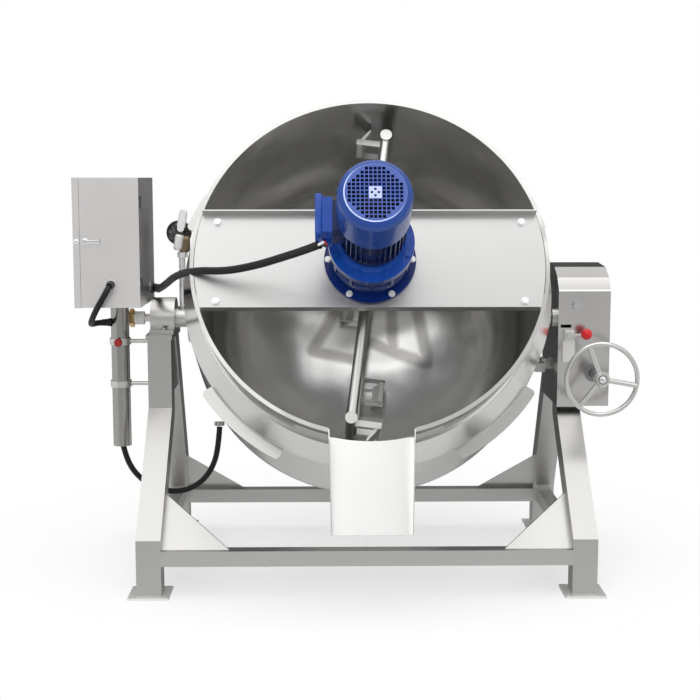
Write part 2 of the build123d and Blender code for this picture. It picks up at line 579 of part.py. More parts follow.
# Handwheel: bent rim tube, three spokes and a turned hub.
rim_tube = Pos(GEAR_X, WHEEL_Y, worm_z) * Rot(90, 0, 0) * Torus(WHEEL_R, 7.5)
wheel_hub = turned([(WORM_SHAFT_R, -14), (26, -14), (26, 6), (20, 14), (WORM_SHAFT_R, 14)])
wheel_hub = Pos(GEAR_X, WHEEL_Y, worm_z) * Rot(90, 0, 0) * wheel_hub
handwheel = rim_tube + wheel_hub
for angle in (112, -10, 231):
    direction = (cos(radians(angle)), 0, sin(radians(angle)))
    start = (GEAR_X + 20 * direction[0], WHEEL_Y, worm_z + 20 * direction[2])
    handwheel += rod(start, direction, WHEEL_R - 20, 8.5)
save("handwheel", handwheel)

# Two plain bearings for the worm shaft, fixed to the outer side of the legs.
worm_brackets = []
for y0, y1 in ((-90, -68), (120, 142)):
    block = box(leg_out, GEAR_X + 30, y0, y1, worm_z - 32, worm_z + 28)
    worm_brackets.append(block - rod((GEAR_X, y0 - 1, worm_z), (0, 1, 0), y1 - y0 + 2, WORM_SHAFT_R + RUN))

# Folded gear cover, open at the back and below.
COVER_T = 3
cover_x0, cover_x1 = 656, 832
cover_outline = [(-128, 563), (-128, 956), (-92, 1000), (-30, 1032), (102, 1040), (164, 1000), (200, 956), (200, 563)]
inner_outline = [(-125, 560), (-125, 955), (-90, 997), (-29, 1029), (101, 1037), (161, 998), (201, 954), (201, 560)]
cover = prism_yz(cover_outline, cover_x0, cover_x1) - prism_yz(inner_outline, cover_x0 + COVER_T, cover_x1 - COVER_T)
cover -= rod((cover_x0 - 5, AXIS_Y, AXIS_Z), (1, 0, 0), 20, 46)
cover -= rod((GEAR_X, -140, worm_z), (0, 1, 0), 30, 22)
cover -= box(664, 700, -135, -120, 832, 843)
cover -= box(cover_x0 - 1, cover_x0 + COVER_T + 1, STOP_Y - 4, STOP_Y + 52, STOP_Z - 6, STOP_Z + 42)
save("gear_cover", cover)
frame_bolts.append(hex_bolt(Pos(716, -128, 907) * Rot(90, 0, 0), 15))
save("frame_bolts", frame_bolts)
shaft_ring = Pos(GEAR_X, -128, worm_z) * Rot(90, 0, 0) * turned([(16, -8), (22, -8), (22, 0), (30, 0), (30, 6), (16, 6)])
save("worm_bearings", worm_brackets + [shaft_ring])

# Friction lock on the cover's front: a guide bar, a hub block and a swinging lever.
LOCK_X, LOCK_Z = 691, 807
lock_bar = box(LOCK_X - 20, LOCK_X + 20, -140, -128, 717, 788) + box(LOCK_X - 15, LOCK_X + 15, -150, -128, 788, 826)
lock_bar -= rod((LOCK_X, -160, LOCK_Z), (0, 1, 0), 40, 7 + RUN)
save("lock_block", lock_bar)
lever_hub = rod((LOCK_X, -172, LOCK_Z), (0, 1, 0), 21, 13) + rod((LOCK_X, -155, LOCK_Z), (0, 1, 0), 26, 7)
lever_rod = rod((LOCK_X + 6, -163, LOCK_Z + 1), (44, -26, 9), 46, 5)
ball = Pos(LOCK_X + 6 + 44, -163 - 26, LOCK_Z + 10) * Sphere(19)
save("lock_lever", [lever_hub + lever_rod, ball - lever_rod])

# =============================================================== steam connection
union_nut = rod((-766, AXIS_Y, AXIS_Z), (-1, 0, 0), 34, 23)
union_nut -= rod((-760, AXIS_Y, AXIS_Z), (-1, 0, 0), 60, NIPPLE_R + RUN)
joint_body = rod((-800, AXIS_Y, AXIS_Z), (-1, 0, 0), 51, 26)
hexagon = Plane(origin=(-802, AXIS_Y, AXIS_Z), z_dir=(-1, 0, 0)) * RegularPolygon(33, 6)
joint_body += extrude(hexagon, 14)
STEAM_PORT_R = 12
joint_body -= rod((-799, AXIS_Y, AXIS_Z), (-1, 0, 0), 60, STEAM_PORT_R)
save("rotary_joint", [union_nut, joint_body])

# A fixed collar round the steam shaft carries the riser, safety valve and gauge.
RISER_X, RISER_R = -632, 11
collar = rod((-655, AXIS_Y, AXIS_Z), (1, 0, 0), 43, 33)
collar -= rod((-656, AXIS_Y, AXIS_Z), (1, 0, 0), 50, STEAM_SHAFT_R + RUN)
collar_top = Pos(RISER_X, AXIS_Y, AXIS_Z + 24) * extrude(Circle(16), 16)
collar += collar_top - rod((-660, AXIS_Y, AXIS_Z), (1, 0, 0), 60, 30)
save("steam_collar", collar)
VALVE_Z = AXIS_Z + 211
riser = Pos(RISER_X, AXIS_Y, AXIS_Z + 40) * extrude(Circle(RISER_R), VALVE_Z - AXIS_Z - 40)
riser_nut = Pos(RISER_X + 2, AXIS_Y, VALVE_Z) * extrude(RegularPolygon(18, 6), 18)
tee = Pos(RISER_X + 8, AXIS_Y, VALVE_Z + 18) * turned([(0, 0), (16, 0), (21, 10), (21, 46), (15, 56), (0, 56)])
GAUGE_X, GAUGE_Y, GAUGE_Z, GAUGE_R = -646, 84, VALVE_Z + 84, 43
branch_z = VALVE_Z + 40
branch = Vector(GAUGE_X - RISER_X - 8, GAUGE_Y - AXIS_Y, 0)
tee += rod((RISER_X + 8, AXIS_Y, branch_z), tuple(branch), branch.length, 8)
tee += Pos(GAUGE_X, GAUGE_Y, branch_z - 8) * extrude(Circle(8), GAUGE_Z - GAUGE_R - branch_z + 10)
save("steam_riser", [riser, riser_nut, tee])
VALVE = Pos(RISER_X - 13, AXIS_Y - 26, VALVE_Z + 26) * Rot(0, 10, 0)
bonnet = turned([(0, 0), (11, 0), (15, 8), (15, 50), (12, 56), (0, 56)])
bonnet += rod((0, 6, 26), (0.35, 1, 0), 12, 8)
save("safety_valve", [VALVE * bonnet - tee, VALVE * turned([(0, 56.1), (16, 56.1), (16, 64), (0, 64)])])
lever_blank = turned([(0, 76), (11.5, 76), (15, 84), (14, 130), (11, 140), (0, 140)])
lever_blank &= box(-20, 20, -9, 9, 60, 150)
lever_blank += rod((0, -9, 76), (0, 1, 0), 18, 11.5)
save("valve_lever", lever_blank, VALVE)

GAUGE = Pos(GAUGE_X, GAUGE_Y, GAUGE_Z) * Rot(90, 0, 0)
gauge = turned([(0, -14), (GAUGE_R - 3, -14), (GAUGE_R, -10), (GAUGE_R, 14), (GAUGE_R - 3, 16),
                (GAUGE_R - 6, 14), (GAUGE_R - 6, 8), (0, 8)])
gauge_glass = Pos(0, 0, 12) * extrude(Circle(GAUGE_R - 6), 1.5)
save("pressure_gauge", [GAUGE * gauge - tee, GAUGE * gauge_glass])
needle = extrude(Circle(4), 2.6) + Pos(0, 9, 0.8) * extrude(Rectangle(2.2, 32), 1)
save("gauge_needle", Pos(0, 0, 8.3) * Rot(0, 0, 135) * needle, GAUGE)

# ================================================================== control box
BOX_X0, BOX_X1, BOX_Y0, BOX_Y1, BOX_Z0, BOX_Z1 = -964, -746, -200, 160, 908, 1337
box_t = 2
cabinet = box(BOX_X0, BOX_X1, BOX_Y0 + 18, BOX_Y1, BOX_Z0, BOX_Z1)
cabinet -= box(BOX_X0 + box_t, BOX_X1 - box_t, BOX_Y0, BOX_Y1 - box_t, BOX_Z0 + box_t, BOX_Z1 - box_t)
frame_lip = box(BOX_X0, BOX_X1, BOX_Y0 + 18, BOX_Y0 + 20, BOX_Z0, BOX_Z1)
frame_lip -= box(BOX_X0 + 30, BOX_X1 - 14, BOX_Y0, BOX_Y0 + 40, BOX_Z0 + 16, BOX_Z1 - 16)
cabinet += frame_lip
strip = box(BOX_X0, BOX_X0 + 22, BOX_Y0, BOX_Y0 + 18, BOX_Z0, BOX_Z1)
strip -= box(BOX_X0 + box_t, BOX_X0 + 22 - box_t, BOX_Y0 + box_t, BOX_Y0 + 19, BOX_Z0 + box_t, BOX_Z1 - box_t)
cabinet += strip
TUBE_X, TUBE_Y, TUBE_OUT = -840, -40, 31
cabinet -= Pos(TUBE_X, TUBE_Y, BOX_Z0) * Cylinder(20, 20)
MOTOR_CABLE_IN = (BOX_X1, 61, 955)
side_entry = Plane(origin=MOTOR_CABLE_IN, z_dir=(1, 0, 0))
cabinet -= extrude(side_entry * Circle(16.5), 12, both=True)
box_gland = extrude(side_entry * Circle(21), 8) - extrude(side_entry * Circle(16.5), 8)
# Two butt hinges on the cabinet's inner side: outer knuckles and pin here, middle knuckle on the door.
HINGE_X, HINGE_Y, HINGE_R, HINGE_H = BOX_X1 + 4, BOX_Y0 + 4, 4, 42
hinge_bases = (968, 1236)
for base in hinge_bases:
    leaf = box(BOX_X1, BOX_X1 + 2, HINGE_Y, BOX_Y0 + 50, base, base + HINGE_H)
    leaf -= box(BOX_X1 - 1, BOX_X1 + 3, BOX_Y0, BOX_Y0 + 20, base + 13.5, base + HINGE_H - 13.5)
    knuckles = Pos(HINGE_X, HINGE_Y, base) * extrude(Circle(HINGE_R), HINGE_H)
    knuckles -= Pos(HINGE_X, HINGE_Y, base + 13.5) * extrude(Circle(HINGE_R + 1) - Circle(1.8), HINGE_H - 27)
    cabinet += leaf + knuckles
save("control_box", [cabinet, box_gland])

door_x0 = BOX_X0 + 23
door = box(door_x0, BOX_X1, BOX_Y0, BOX_Y0 + 17.5, BOX_Z0 + 1, BOX_Z1 - 1)
door -= box(door_x0 + box_t, BOX_X1 - box_t, BOX_Y0 + box_t, BOX_Y0 + 20, BOX_Z0 + 1 + box_t, BOX_Z1 - 1 - box_t)
LATCH_X, LATCH_Z = BOX_X0 + 40, 1128
door -= rod((LATCH_X, BOX_Y0 - 2, LATCH_Z), (0, 1, 0), 6, 5 + RUN)
DOOR_CABLE = (-842, BOX_Y0, 986)
door_entry = Plane(origin=DOOR_CABLE, z_dir=(0, -1, 0))
door += extrude(door_entry * Circle(16), 8)
door -= extrude(door_entry * Circle(12.5), 12, both=True)
for base in hinge_bases:
    knuckle = Pos(HINGE_X, HINGE_Y, base + 14) * extrude(Circle(HINGE_R), HINGE_H - 28)
    knuckle += box(BOX_X1, BOX_X1 + 2, BOX_Y0 + 1, BOX_Y0 + 16, base + 14, base + HINGE_H - 14)
    door += knuckle - Pos(HINGE_X, HINGE_Y, base) * extrude(Circle(1.8 + RUN), HINGE_H)
save("box_door", door)

latch = rod((LATCH_X, BOX_Y0 + 28, LATCH_Z), (0, -1, 0), 34, 5)
latch += rod((LATCH_X, BOX_Y0 - 0.4, LATCH_Z), (0, -1, 0), 8, 9)
latch += box(LATCH_X - 8, LATCH_X + 50, BOX_Y0 - 15, BOX_Y0 - 7, LATCH_Z - 8, LATCH_Z + 8)
latch += box(LATCH_X - 7, LATCH_X + 7, BOX_Y0 + 22, BOX_Y0 + 26, LATCH_Z - 28, LATCH_Z)
save("door_latch", latch)

panel = box(BOX_X0 + 12, BOX_X1 - 12, BOX_Y1 - 8, BOX_Y1 - 5, BOX_Z0 + 40, BOX_Z1 - 40)
panel += box(BOX_X0 + 20, BOX_X0 + 30, BOX_Y1 - 5, BOX_Y1 - box_t, BOX_Z0 + 60, BOX_Z1 - 60)
panel += box(BOX_X1 - 30, BOX_X1 - 20, BOX_Y1 - 5, BOX_Y1 - box_t, BOX_Z0 + 60, BOX_Z1 - 60)
contactors = [panel]
for k in range(3):
    x0 = BOX_X0 + 34 + 52 * k
    block = box(x0, x0 + 44, BOX_Y1 - 78, BOX_Y1 - 8, 1150, 1232)
    block -= box(x0 + 6, x0 + 38, BOX_Y1 - 80, BOX_Y1 - 70, 1160, 1172)
    contactors.append(block)
contactors.append(box(BOX_X0 + 34, BOX_X1 - 34, BOX_Y1 - 56, BOX_Y1 - 8, 1010, 1056))
save("control_gear", contactors)

# Cable tube under the box and its two clamps on the leg.
tube_z0 = 415
cable_tube = Pos(TUBE_X, TUBE_Y, tube_z0) * (extrude(Circle(TUBE_OUT), BOX_Z0 - tube_z0)
                                             - extrude(Circle(TUBE_OUT - 3), BOX_Z0 - tube_z0))
TUBE_ENTRY = (-900, -58, 845)
cable_tube -= rod(TUBE_ENTRY, (TUBE_X - TUBE_ENTRY[0], TUBE_Y - TUBE_ENTRY[1], 0), 50, 10.6)
save("cable_tube", cable_tube)
clamps = []
for z in (779, 632):
    band = Pos(TUBE_X, TUBE_Y, z - 11) * (extrude(Circle(TUBE_OUT + 5), 22) - extrude(Circle(TUBE_OUT), 22))
    arm = rod((TUBE_X + TUBE_OUT + 3, TUBE_Y, z), (1, 0, 0), -leg_out - TUBE_X - TUBE_OUT - 3, 7)
    clamps.append(band + arm)
knob = turned([(0, 0), (6, 0), (6, 8), (14, 10), (14, 22), (10, 26), (0, 26)])
knob = Pos(TUBE_X, TUBE_Y - TUBE_OUT - 2, 779) * Rot(90, 0, 0) * knob
save("tube_clamps", clamps + [knob - Pos(TUBE_X, TUBE_Y, 779) * Cylinder(TUBE_OUT + 5, 60)])

# ======================================================================== cables
def cord_radii(points):
    """Largest tangent arc at each corner that both of its runs leave room for."""
    radii = []
    for before, here, after in zip(points, points[1:], points[2:]):
        run_in = Vector(*here) - Vector(*before)
        run_out = Vector(*after) - Vector(*here)
        half_turn = radians(run_in.get_angle(run_out)) / 2
        radii.append(0.45 * min(run_in.length, run_out.length) / tan(half_turn))
    return radii


def cord(name, points, radius):
    """Plain tube along straight runs joined by tangent arcs."""
    radii = cord_radii(points)
    line = FilletPolyline(*points, radius=radii)
    tube = sweep(Plane(origin=line @ 0, z_dir=line % 0) * Circle(radius), path=line)
    ideal = pi * radius * radius * line.length
    print(name, "radii", [round(r) for r in radii], "length", round(line.length),
          "volume ratio", round(tube.volume / ideal, 4))
    save(name, tube)


MOTOR_CABLE_R, BOX_CABLE_R, PROBE_CABLE_R = 12, 10, 10
motor_cable_points = [(-148, -755, 1142), (-191, -708, 1131), (-254, -646, 1113), (-337, -577, 1084),
                      (-436, -530, 1066), (-530, -486, 1064), (-604, -388, 1043), (-656, -256, 1000),
                      (-696, -126, 970), (-710, -22, 957), (-714, 34, 955), (-730, 58, 955), (-756, 64, 955)]
box_cable_points = [(-842, -190, 986), (-842, -238, 983), (-858, -256, 950), (-889, -242, 900), (-912, -196, 860),
                    (-923, -120, 845), (-914, -62, 845), (-862, -46.6, 845)]
probe_cable_points = [(-838, -42, 415), (-828, -44, 370), (-800, -46, 318), (-752, -48, 275), (-690, -46, 250),
                      (-626, -36, 250), (-570, -20, 276), (-532, -10, 326), (-512, -4, 390), (-506, 1, 470)]
cord("motor_cable", motor_cable_points, MOTOR_CABLE_R)
cord("box_cable", box_cable_points, BOX_CABLE_R)
cord("probe_cable", probe_cable_points, PROBE_CABLE_R)
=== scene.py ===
from math import cos, pi, radians, sin

import bmesh
import bpy
from mathutils import Matrix, Vector


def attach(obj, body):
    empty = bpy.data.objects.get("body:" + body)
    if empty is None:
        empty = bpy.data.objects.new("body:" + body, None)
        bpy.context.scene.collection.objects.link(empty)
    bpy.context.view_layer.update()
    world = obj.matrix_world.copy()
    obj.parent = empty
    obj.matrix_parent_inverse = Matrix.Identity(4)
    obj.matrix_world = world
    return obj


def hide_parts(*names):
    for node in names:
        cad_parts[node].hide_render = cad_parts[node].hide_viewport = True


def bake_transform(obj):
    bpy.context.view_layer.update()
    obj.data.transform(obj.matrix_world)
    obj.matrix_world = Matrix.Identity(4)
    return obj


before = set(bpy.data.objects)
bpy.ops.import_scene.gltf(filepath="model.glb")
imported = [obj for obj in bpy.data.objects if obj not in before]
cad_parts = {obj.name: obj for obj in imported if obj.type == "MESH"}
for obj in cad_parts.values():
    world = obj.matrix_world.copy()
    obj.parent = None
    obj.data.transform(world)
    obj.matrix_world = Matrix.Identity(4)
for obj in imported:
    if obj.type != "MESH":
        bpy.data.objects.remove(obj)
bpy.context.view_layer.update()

# ---------------------------------------------------------------- camera and studio
# A long lens stands in front of the mouth and looks slightly down. The camera sees a white
# room and a pale floor that fades out. The steel mirrors a room that is dim at its horizon,
# dark behind the kettle and bright at the sides.
scene = bpy.context.scene
scene.view_settings.view_transform = "Standard"
camera = bpy.data.objects.new("camera", bpy.data.cameras.new("camera"))
camera.data.lens = 68.35
camera.data.sensor_width = 36
camera.location = (-0.11952, -4.59541, 1.33759)
camera.rotation_euler = (radians(90 - 7.398), 0, radians(-0.884))
scene.collection.objects.link(camera)
scene.camera = camera


class Wire:
    """A value in a shader that can be used in plain sums."""

    def __init__(self, graph, socket):
        self.graph, self.socket = graph, socket

    def maths(self, operation, *others):
        return self.graph.node("ShaderNodeMath", {"operation": operation}, [self, *others])

    def __add__(self, other):
        return self.maths("ADD", other)

    def __sub__(self, other):
        return self.maths("SUBTRACT", other)

    def __rsub__(self, other):
        return self * -1 + other

    def __mul__(self, other):
        return self.maths("MULTIPLY", other)

    def __pow__(self, other):
        return self.maths("POWER", other)

    __radd__ = __add__
    __rmul__ = __mul__

    def over(self, edge):
        return self.maths("GREATER_THAN", edge)

    def under(self, edge):
        return self.maths("LESS_THAN", edge)

    def most(self, other):
        return self.maths("MAXIMUM", other)

    def least(self, other):
        return self.maths("MINIMUM", other)

    def size(self):
        return self.maths("ABSOLUTE")

    def wave(self):
        return self.maths("SINE")


class Graph:
    """A node tree written as plain calls, and the points that its patterns read."""

    def __init__(self, tree, coordinates):
        self.tree = tree
        self.points = self.node("ShaderNodeTexCoord", out=coordinates)

    def node(self, kind, settings=None, inputs=None, out=0):
        made = self.tree.nodes.new(kind)
        for name, value in (settings or {}).items():
            if name == "stops":
                ramp = made.color_ramp.elements
                while len(ramp) < len(value):
                    ramp.new(0.5)
                for stop, (place, grey) in zip(ramp, value):
                    stop.position, stop.color = place, (grey, grey, grey, 1)
            else:
                setattr(made, name, value)
        pairs = inputs.items() if isinstance(inputs, dict) else enumerate(inputs or [])
        for name, value in pairs:
            if isinstance(value, Wire):
                self.tree.links.new(value.socket, made.inputs[name])
            else:
                made.inputs[name].default_value = value
        return Wire(self, made.outputs[out]) if made.outputs else None

    def axis(self, letter, points=None):
        return self.node("ShaderNodeSeparateXYZ", {}, [points or self.points], letter)

    def blend(self, mask, low, high):
        """Mix of two colours. The node has its factor at 0, its colours at 6 and 7, its result at 2."""
        low, high = [value if isinstance(value, Wire) else (*value, 1) for value in (low, high)]
        return self.node("ShaderNodeMix", {"data_type": "RGBA"}, {0: mask, 6: low, 7: high}, 2)

    def ramp(self, value, low, high, bottom=0.0, top=1.0):
        """Smooth step from bottom to top as a value goes from low to high."""
        return self.node("ShaderNodeMapRange", {"interpolation_type": "SMOOTHSTEP"},
                         {"Value": value, "From Min": low, "From Max": high, "To Min": bottom, "To Max": top})


class Finish(Graph):
    """One surface finish: a shader and the patterns that vary over it."""

    def __init__(self, name, colour, roughness, metallic=0.0, **fixed):
        self.material = bpy.data.materials.new(name)
        self.material.use_nodes = True
        super().__init__(self.material.node_tree, "Object")
        self.shader = self.tree.nodes["Principled BSDF"]
        self.shader.inputs["Base Color"].default_value = (*colour, 1)
        self.shader.inputs["Roughness"].default_value = roughness
        self.shader.inputs["Metallic"].default_value = metallic
        for socket, value in fixed.items():
            self.shader.inputs[socket.replace("_", " ")].default_value = value
        self.tone = colour

    def feed(self, socket, wire):
        self.tree.links.new(wire.socket, self.shader.inputs[socket])

    def coloured(self, wire):
        self.tone = wire
        self.feed("Base Color", wire)

    def tinted(self, mask, colour):
        """Lays a colour over the part that a mask covers."""
        self.coloured(self.blend(mask, self.tone, colour))

    def worn(self, low, spread, scale, detail):
        """Roughness that varies softly between low and low + spread."""
        self.feed("Roughness", low + self.cloud(scale, detail) * spread)

    def relief(self, height, strength, depth):
        self.feed("Normal", self.node("ShaderNodeBump", {}, {"Height": height, "Strength": strength,
                                                             "Distance": depth}))

    def cloud(self, scale, detail, points=None):
        return self.node("ShaderNodeTexNoise", {}, {"Vector": points or self.points, "Scale": scale,
                                                    "Detail": detail})

    def stretch(self, scale, turn=(0, 0, 0), points=None):
        return self.node("ShaderNodeMapping", {}, {"Vector": points or self.points, "Rotation": turn,
                                                   "Scale": scale})

    def vector(self, operation, inputs, out="Vector"):
        return self.node("ShaderNodeVectorMath", {"operation": operation}, inputs, out)

    def moved(self, centre, points=None):
        return self.vector("SUBTRACT", [points or self.points, centre])

    def length(self, points):
        return self.vector("LENGTH", [points], "Value")


def settle(name, mesh, finish, sharp=radians(32)):
    """Object of a finished mesh, smooth but for the edges that turn by more than the sharp angle."""
    bmesh.ops.recalc_face_normals(mesh, faces=mesh.faces)
    for edge in mesh.edges:
        edge.smooth = edge.calc_face_angle(0) < sharp
    for face in mesh.faces:
        face.smooth = True
    piece = bpy.data.objects.new(name, bpy.data.meshes.new(name))
    mesh.to_mesh(piece.data)
    mesh.free()
    piece.data.materials.append(finish.material)
    scene.collection.objects.link(piece)
    return piece


paper = Finish("studio_paper", (0.92, 0.92, 0.92), 0.9, Specular_IOR_Level=0.1)
sheet = bmesh.new()
bmesh.ops.create_grid(sheet, x_segments=2, y_segments=2, size=6)
floor = settle("floor", sheet, paper)
fade_from, fade_to, middle_alpha = 0.5, 1.8, 0.45
out = paper.length(paper.stretch((1, 1, 0)))
paper.feed("Alpha", paper.ramp(out, fade_from, fade_to, middle_alpha, 0.0))

world = bpy.data.worlds.new("studio")
world.use_nodes = True
world.node_tree.nodes.clear()
scene.world = world
sky = Graph(world.node_tree, "Generated")
up, side, back = sky.axis("Z"), sky.axis("X").size(), sky.axis("Y")
glow_stops = [(0.0, 0.72), (0.40, 0.70), (0.48, 0.50), (0.56, 0.42), (0.68, 0.50), (0.80, 0.84), (1.0, 0.92)]
glow = sky.node("ShaderNodeValToRGB", {"stops": glow_stops}, [up * 0.5 + 0.5])
near_level = sky.ramp(up.size(), 0.25, 0.7, 1.0, 0.0)
room = sky.blend(near_level * sky.ramp(back, 0.1, 0.65), glow, (0.06, 0.06, 0.06))
room = sky.blend(near_level * sky.ramp(side, 0.42, 0.78, 0.0, 0.88), room, (0.92, 0.92, 0.92))
seen = sky.node("ShaderNodeLightPath", out="Is Camera Ray")
backdrop = sky.node("ShaderNodeBackground", {}, {"Color": sky.blend(seen, room, (1, 1, 1)), "Strength": 1.0})
sky.node("ShaderNodeOutputWorld", {}, {"Surface": backdrop})


def softbox(name, place, aim, width, height, power):
    """Rectangular lamp that faces a point."""
    lamp = bpy.data.objects.new(name, bpy.data.lights.new(name, "AREA"))
    lamp.data.shape = "RECTANGLE"
    lamp.data.size, lamp.data.size_y = width, height
    lamp.data.energy = power
    lamp.location = place
    lamp.rotation_euler = (Vector(place) - Vector(aim)).to_track_quat("Z", "Y").to_euler()
    scene.collection.objects.link(lamp)
    return lamp


softbox("top_light", (0, -0.6, 4.2), (0, 0, 0.6), 4.6, 4.6, 62)
softbox("front_light", (-1.8, -4.4, 3.4), (0, 0, 0.8), 3.2, 2.4, 21)
softbox("right_light", (2.4, -4.0, 2.4), (0.3, 0, 0.8), 2.0, 2.0, 13)
softbox("fill_light", (-0.6, -4.6, 2.2), (0, 0, 0.9), 2.4, 1.6, 70).visible_glossy = False

# ---------------------------------------------------------------- cables
# Three rubber-sheathed leads hang between their glands: the motor's across the mouth, a short
# one from the cabinet door into the cable tube, and the probe's from the tube to the casing.
rubber = Finish("cable_rubber", (0.006, 0.006, 0.007), 0.42, Specular_IOR_Level=0.32)
rubber.worn(0.34, 0.2, 180, 3)
rubber.relief(rubber.cloud(900, 2), 0.25, 0.0006)


def drawn_tube(name, route, radius, finish, resolution=12, order=3):
    """Object of a round tube along a smooth line, and the points of that line."""
    curve = bpy.data.curves.new(name, "CURVE")
    curve.dimensions = "3D"
    line = curve.splines.new("NURBS")
    line.points.add(len(route) - 1)
    for point, place in zip(line.points, route):
        point.co = (*place, 1)
    line.order_u = order
    line.use_endpoint_u = True
    line.resolution_u = resolution
    holder = bpy.data.objects.new(name + "_line", curve)
    scene.collection.objects.link(holder)
    bpy.context.view_layer.update()
    path = [vertex.co.copy() for vertex in bpy.data.meshes.new_from_object(holder).vertices]
    curve.bevel_depth = radius
    curve.bevel_resolution = 5
    curve.use_fill_caps = True
    bpy.context.view_layer.update()
    graph = bpy.context.evaluated_depsgraph_get()
    mesh = bpy.data.meshes.new_from_object(holder.evaluated_get(graph))
    bpy.data.objects.remove(holder)
    mesh.materials.clear()
    mesh.materials.append(finish.material)
    for face in mesh.polygons:
        face.use_smooth = True
    piece = bpy.data.objects.new(name, mesh)
    scene.collection.objects.link(piece)
    return piece, path


def lead(name, route, radius):
    """One cable, drawn as a sheath along its route in place of its solid, which is hidden."""
    piece, path = drawn_tube(name + "_sheath", route, radius, rubber)
    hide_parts(name)
    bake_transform(piece)


# The motor's lead starts 4 mm higher than its solid and hangs up to 13 mm lower. The other two
# repeat the points of their solids.
motor_route = [(-0.148, -0.755, 1.146), (-0.191, -0.708, 1.127), (-0.254, -0.646, 1.104),
               (-0.337, -0.577, 1.075), (-0.436, -0.530, 1.053), (-0.530, -0.486, 1.053),
               (-0.604, -0.388, 1.032), (-0.656, -0.256, 0.990), (-0.696, -0.126, 0.964),
               (-0.710, -0.022, 0.957), (-0.714, 0.034, 0.955), (-0.730, 0.058, 0.955),
               (-0.756, 0.064, 0.955)]
door_route = [(-0.842, -0.190, 0.986), (-0.842, -0.238, 0.983), (-0.858, -0.256, 0.950),
              (-0.889, -0.242, 0.900), (-0.912, -0.196, 0.860), (-0.923, -0.120, 0.845),
              (-0.914, -0.062, 0.845), (-0.862, -0.0466, 0.845)]
probe_route = [(-0.838, -0.042, 0.415), (-0.828, -0.044, 0.370), (-0.800, -0.046, 0.318),
               (-0.752, -0.048, 0.275), (-0.690, -0.046, 0.250), (-0.626, -0.036, 0.250),
               (-0.570, -0.020, 0.276), (-0.532, -0.010, 0.326), (-0.512, -0.004, 0.390),
               (-0.506, 0.001, 0.470)]
lead("motor_cable", motor_route, 0.012)
lead("box_cable", door_route, 0.010)
lead("probe_cable", probe_route, 0.010)


def lathe(name, profile, place, axis, finish, body, segments=48):
    """Turned piece: pairs of radius and height spun round an axis through a point."""
    mesh = bmesh.new()
    line = [mesh.verts.new((radius, 0, height)) for radius, height in profile]
    for one, two in zip(line, line[1:]):
        mesh.edges.new((one, two))
    bmesh.ops.spin(mesh, geom=mesh.verts[:] + mesh.edges[:], cent=(0, 0, 0), axis=(0, 0, 1), angle=2 * pi,
                   steps=segments, use_merge=True)
    bmesh.ops.remove_doubles(mesh, verts=mesh.verts, dist=1e-6)
    turn = Vector((0, 0, 1)).rotation_difference(Vector(axis)).to_matrix().to_4x4()
    mesh.transform(Matrix.Translation(place) @ turn)
    piece = settle(name, mesh, finish)
    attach(piece, body)
    return piece


# Tapered boots hold the leads where they enter the cabinet's side, its door and the tube.
boot = [(0.0, 0), (0.0165, 0), (0.0165, 0.004), (0.0150, 0.006), (0.0150, 0.010), (0.0140, 0.014),
        (0.0128, 0.030), (0.0, 0.030)]
slim = [(radius * 0.86, height) for radius, height in boot]
lathe("motor_lead_boot", boot, (-0.738, 0.0600, 0.955), (0.93, -0.37, 0), rubber, "frame")
lathe("door_lead_boot", slim, (-0.842, -0.206, 0.9855), (0, -1, -0.06), rubber, "box_door")
lathe("tube_lead_boot", slim, (-0.8705, -0.049, 0.845), (-0.96, -0.28, 0), rubber, "frame")

# ---------------------------------------------------------------- stand
# Bent square tube legs on flat feet, joined by square beams, gussets and head plates, all
# cut from stainless steel and given a satin brushed finish along each length.


def steel(level):
    """Stainless steel's faintly warm grey, by its brightness."""
    return level, level - 0.005, level - 0.02


def toned(colour, amount):
    return tuple(value * amount for value in colour)


def brushed(name, along, colour, roughness=0.32, grain=0.09, metallic=1.0, patch=0.0):
    """Stainless steel brushed along X, Y or Z. A sheet with a patch value varies in soft patches."""
    finish = Finish(name, colour, roughness, metallic)
    scale = [420, 420, 420]
    scale["XYZ".index(along)] = 5
    lines = finish.cloud(1, 3, finish.stretch(scale))
    wear = finish.cloud(7, 3)
    finish.feed("Roughness", roughness - grain / 2 - 0.03 + lines * grain + wear * 0.06)
    finish.relief(lines, 0.10, 0.0004)
    if patch:
        finish.coloured(finish.blend(wear, [value - patch for value in colour],
                                     [value + patch for value in colour]))
    else:
        finish.coloured(finish.blend(lines * 0.6 + wear * 0.4, toned(colour, 0.94), toned(colour, 1.05)))
    return finish


def dress(finish, *nodes):
    """Gives solids of the frame their finish."""
    for node in nodes:
        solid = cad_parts[node]
        solid.data.materials.clear()
        solid.data.materials.append(finish.material)


dress(brushed("leg_steel", "Z", steel(0.52)), "front_legs", "rear_legs")
dress(brushed("beam_steel", "X", steel(0.54)), "cross_beams", "corner_gussets")
dress(brushed("plate_steel", "X", steel(0.62)), "bearing_housings", "steam_collar")
dress(brushed("foot_steel", "X", steel(0.84), 0.36, metallic=0.6), "foot_plates")
dress(brushed("depth_steel", "Y", steel(0.52)), "side_beams", "head_plates")
bronze = Finish("bronze", (0.55, 0.36, 0.16), 0.30, 1.0)
bronze.worn(0.26, 0.12, 60, 3)
dress(bronze, "bearing_bushes", "worm_wheel")

